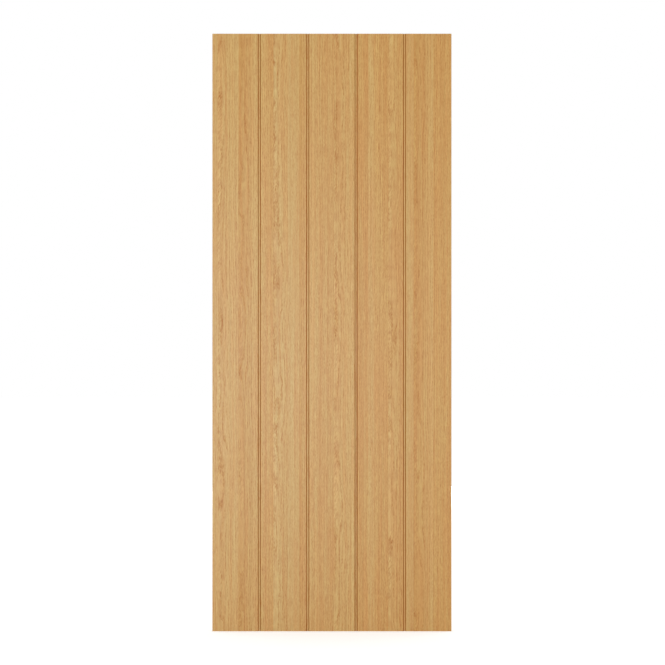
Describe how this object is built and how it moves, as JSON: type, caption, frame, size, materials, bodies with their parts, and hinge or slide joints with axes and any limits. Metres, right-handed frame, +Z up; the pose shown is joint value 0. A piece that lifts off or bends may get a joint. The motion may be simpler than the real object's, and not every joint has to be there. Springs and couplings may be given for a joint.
{
  "type": "interior door leaf",
  "caption": "Flush interior door leaf veneered in oak, with full-height grooves that divide each face into equal planks.",
  "frame": {"origin": "on the hinge edge, at the foot of the leaf and half-way through its thickness", "axes": "+X across the leaf from the hinge edge to the lock edge, +Y through it from the front to the back, +Z up"},
  "size_m": [0.813, 0.035, 2.032],
  "materials": {
    "oak_veneer": "satin",
    "oak_solid": "satin",
    "fibreboard": "matte",
    "softwood": "matte",
    "particleboard": "matte"
  },
  "bodies": {
    "root": {"front_veneer_1": "oak_veneer", "front_veneer_2": "oak_veneer", "front_veneer_3": "oak_veneer", "front_veneer_4": "oak_veneer", "front_veneer_5": "oak_veneer", "back_veneer_1": "oak_veneer", "back_veneer_2": "oak_veneer", "back_veneer_3": "oak_veneer", "back_veneer_4": "oak_veneer", "back_veneer_5": "oak_veneer", "front_skin": "fibreboard", "back_skin": "fibreboard", "hinge_lipping": "oak_solid", "lock_lipping": "oak_solid", "hinge_stile": "softwood", "lock_stile": "softwood", "top_rail": "softwood", "bottom_rail": "softwood", "core": "particleboard"}
  },
  "joints": []
}
